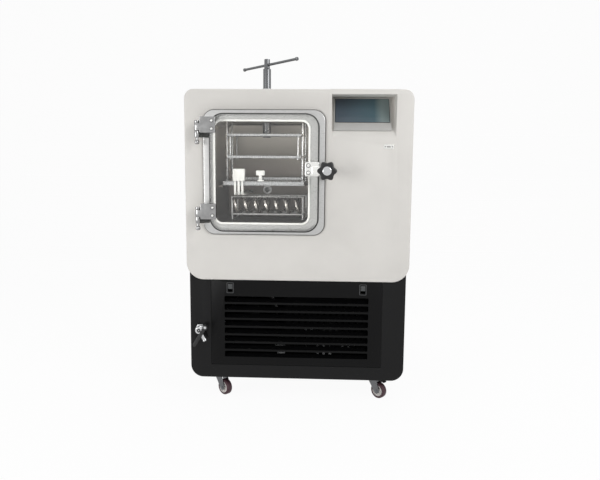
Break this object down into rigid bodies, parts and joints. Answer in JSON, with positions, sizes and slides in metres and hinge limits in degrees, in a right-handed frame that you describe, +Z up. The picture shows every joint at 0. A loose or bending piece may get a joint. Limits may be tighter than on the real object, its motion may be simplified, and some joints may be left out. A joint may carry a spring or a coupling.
{
  "type": "freeze dryer",
  "caption": "Floor-standing freeze dryer: white housing with a clear-doored square chamber, screw press with T-handle, sloped display, and a black louvred cabinet on swivel casters.",
  "frame": {"origin": "floor level, under the middle of the machine's overall width and depth", "axes": "+X to the right as seen from the front, +Y to the back, +Z up"},
  "size_m": [0.684, 0.7186, 1.069],
  "materials": {
    "white_paint": "satin",
    "black_paint": "satin",
    "panel_paint": "satin",
    "zinc_steel": "zinc plated",
    "black_plastic": "matte",
    "knob_plastic": "matte",
    "chamber_steel": "brushed",
    "shelf_steel": "brushed",
    "turned_steel": "turned",
    "polished_steel": "polished",
    "coil_steel": "drawn tube",
    "white_silicone": "matte",
    "clear_acrylic": "polished",
    "bezel_plastic": "matte",
    "display_glass": "gloss",
    "copper": "drawn tube",
    "wheel_rubber": "matte"
  },
  "bodies": {
    "machine": {"upper_housing": "white_paint", "rear_cover_upper": "white_paint", "lower_cabinet": "black_paint", "rear_cover_lower": "black_paint", "base_plate": "zinc_steel", "front_grille": "panel_paint", "chamber": "chamber_steel", "door_seal": "white_silicone", "hinge_bracket_upper": "turned_steel", "hinge_bracket_lower": "turned_steel", "clamp_socket": "turned_steel", "ram_gland": "turned_steel", "lower_shelf": "shelf_steel", "condenser_coil": "coil_steel", "coil_rack": "chamber_steel", "probe_block": "white_silicone", "sensor_lead_1": "white_silicone", "sensor_lead_2": "white_silicone", "sensor_lead_3": "white_silicone", "probe_clip": "white_silicone", "vacuum_port": "chamber_steel", "display_bezel": "bezel_plastic", "display_screen": "display_glass", "data_socket": "polished_steel", "drain_valve": "polished_steel", "drain_hose": "white_silicone", "compressor": "black_paint", "air_condenser": "black_paint", "fan_shroud": "black_paint", "fan_motor": "zinc_steel", "suction_pipe": "copper", "liquid_pipe": "copper", "control_box": "zinc_steel", "power_inlet": "black_plastic"},
    "door": {"door_plate": "clear_acrylic", "hinge_leaf_upper": "turned_steel", "hinge_leaf_lower": "turned_steel", "clamp_bracket": "polished_steel"},
    "clamp_carriage": {"clamp_collar": "polished_steel"},
    "clamp_knob": {"clamp_screw": "turned_steel", "star_knob": "knob_plastic", "knob_cap": "polished_steel"},
    "catch_left": {"slide_catch_left": "black_plastic"},
    "catch_right": {"slide_catch_right": "black_plastic"},
    "press": {"press_plate": "shelf_steel"},
    "ram": {"ram_spindle": "turned_steel", "tee_bar": "turned_steel"},
    "middle_shelf": {"middle_shelf": "shelf_steel"},
    "fan": {"fan_rotor": "black_plastic"},
    "drain_lever": {"drain_lever": "black_plastic"},
    "power_switch": {"switch_rocker": "black_plastic"},
    "brake_pedal": {"brake_pedal": "black_plastic"},
    "caster_front_left": {"caster_fork_front_left": "zinc_steel"},
    "wheel_front_left": {"caster_wheel_front_left": "wheel_rubber"},
    "caster_front_right": {"caster_fork_front_right": "zinc_steel"},
    "wheel_front_right": {"caster_wheel_front_right": "wheel_rubber"},
    "caster_rear_left": {"caster_fork_rear_left": "zinc_steel"},
    "wheel_rear_left": {"caster_wheel_rear_left": "wheel_rubber"},
    "caster_rear_right": {"caster_fork_rear_right": "zinc_steel"},
    "wheel_rear_right": {"caster_wheel_rear_right": "wheel_rubber"}
  },
  "joints": [
    {"name": "door_hinge", "type": "hinge", "parent": "machine", "child": "door", "pos_m": [-0.297, -0.31245, 0.712], "axis": [0, 0, -1], "range_deg": [0, 110]},
    {"name": "clamp_travel", "type": "slide", "parent": "door", "child": "clamp_carriage", "axis": [0, -1, 0], "range_m": [0, 0.018]},
    {"name": "clamp_spin", "type": "hinge", "parent": "clamp_carriage", "child": "clamp_knob", "pos_m": [0.088, -0.33065, 0.7205], "axis": [0, -1, 0], "range_deg": [0, 3239.9]},
    {"name": "catch_left_slide", "type": "slide", "parent": "machine", "child": "catch_left", "axis": [0, 0, -1], "range_m": [0, 0.009], "stiffness_N_per_m": 300, "springref_m": -0.002},
    {"name": "catch_right_slide", "type": "slide", "parent": "machine", "child": "catch_right", "axis": [0, 0, -1], "range_m": [0, 0.009], "stiffness_N_per_m": 300, "springref_m": -0.002},
    {"name": "press_travel", "type": "slide", "parent": "machine", "child": "press", "axis": [0, 0, -1], "range_m": [0, 0.031]},
    {"name": "ram_spin", "type": "hinge", "parent": "press", "child": "ram", "pos_m": [-0.107, -0.13565, 0.95], "axis": [0, 0, -1], "range_deg": [0, 2231.9]},
    {"name": "middle_shelf_lift", "type": "slide", "parent": "press", "child": "middle_shelf", "axis": [0, 0, 1], "range_m": [0, 0.025]},
    {"name": "fan_spin", "type": "hinge", "parent": "machine", "child": "fan", "pos_m": [0.105, -0.14865, 0.1966], "axis": [0, 1, 0], "continuous": true},
    {"name": "drain_lever_turn", "type": "hinge", "parent": "machine", "child": "drain_lever", "pos_m": [-0.282, -0.30465, 0.237], "axis": [0, -1, 0], "range_deg": [0, 90]},
    {"name": "power_switch_rock", "type": "hinge", "parent": "machine", "child": "power_switch", "pos_m": [0.216, 0.32065, 0.13], "axis": [1, 0, 0], "range_deg": [0, 15]},
    {"name": "caster_swivel_front_left", "type": "hinge", "parent": "machine", "child": "caster_front_left", "pos_m": [-0.247, -0.22565, 0.06], "axis": [0, 0, 1], "continuous": true},
    {"name": "wheel_spin_front_left", "type": "hinge", "parent": "caster_front_left", "child": "wheel_front_left", "pos_m": [-0.23168, -0.23851, 0.025], "axis": [0.6428, 0.766, 0], "continuous": true},
    {"name": "caster_swivel_front_right", "type": "hinge", "parent": "machine", "child": "caster_front_right", "pos_m": [0.247, -0.22565, 0.06], "axis": [0, 0, 1], "continuous": true},
    {"name": "wheel_spin_front_right", "type": "hinge", "parent": "caster_front_right", "child": "wheel_front_right", "pos_m": [0.26232, -0.23851, 0.025], "axis": [0.6428, 0.766, 0], "continuous": true},
    {"name": "caster_swivel_rear_left", "type": "hinge", "parent": "machine", "child": "caster_rear_left", "pos_m": [-0.247, 0.27235, 0.06], "axis": [0, 0, 1], "continuous": true},
    {"name": "wheel_spin_rear_left", "type": "hinge", "parent": "caster_rear_left", "child": "wheel_rear_left", "pos_m": [-0.23168, 0.25949, 0.025], "axis": [0.6428, 0.766, 0], "continuous": true},
    {"name": "caster_swivel_rear_right", "type": "hinge", "parent": "machine", "child": "caster_rear_right", "pos_m": [0.247, 0.27235, 0.06], "axis": [0, 0, 1], "continuous": true},
    {"name": "wheel_spin_rear_right", "type": "hinge", "parent": "caster_rear_right", "child": "wheel_rear_right", "pos_m": [0.26232, 0.25949, 0.025], "axis": [0.6428, 0.766, 0], "continuous": true},
    {"name": "brake_pedal_press", "type": "hinge", "parent": "caster_front_right", "child": "brake_pedal", "pos_m": [0.26431, -0.24018, 0.0609], "axis": [0.6428, 0.766, 0], "range_deg": [0, 12]}
  ],
  "couplings": [
    {"joint": "press_travel", "follows": "ram_spin", "m_per_rad": 0.00079577},
    {"joint": "clamp_travel", "follows": "clamp_spin", "m_per_rad": 0.00031831}
  ]
}
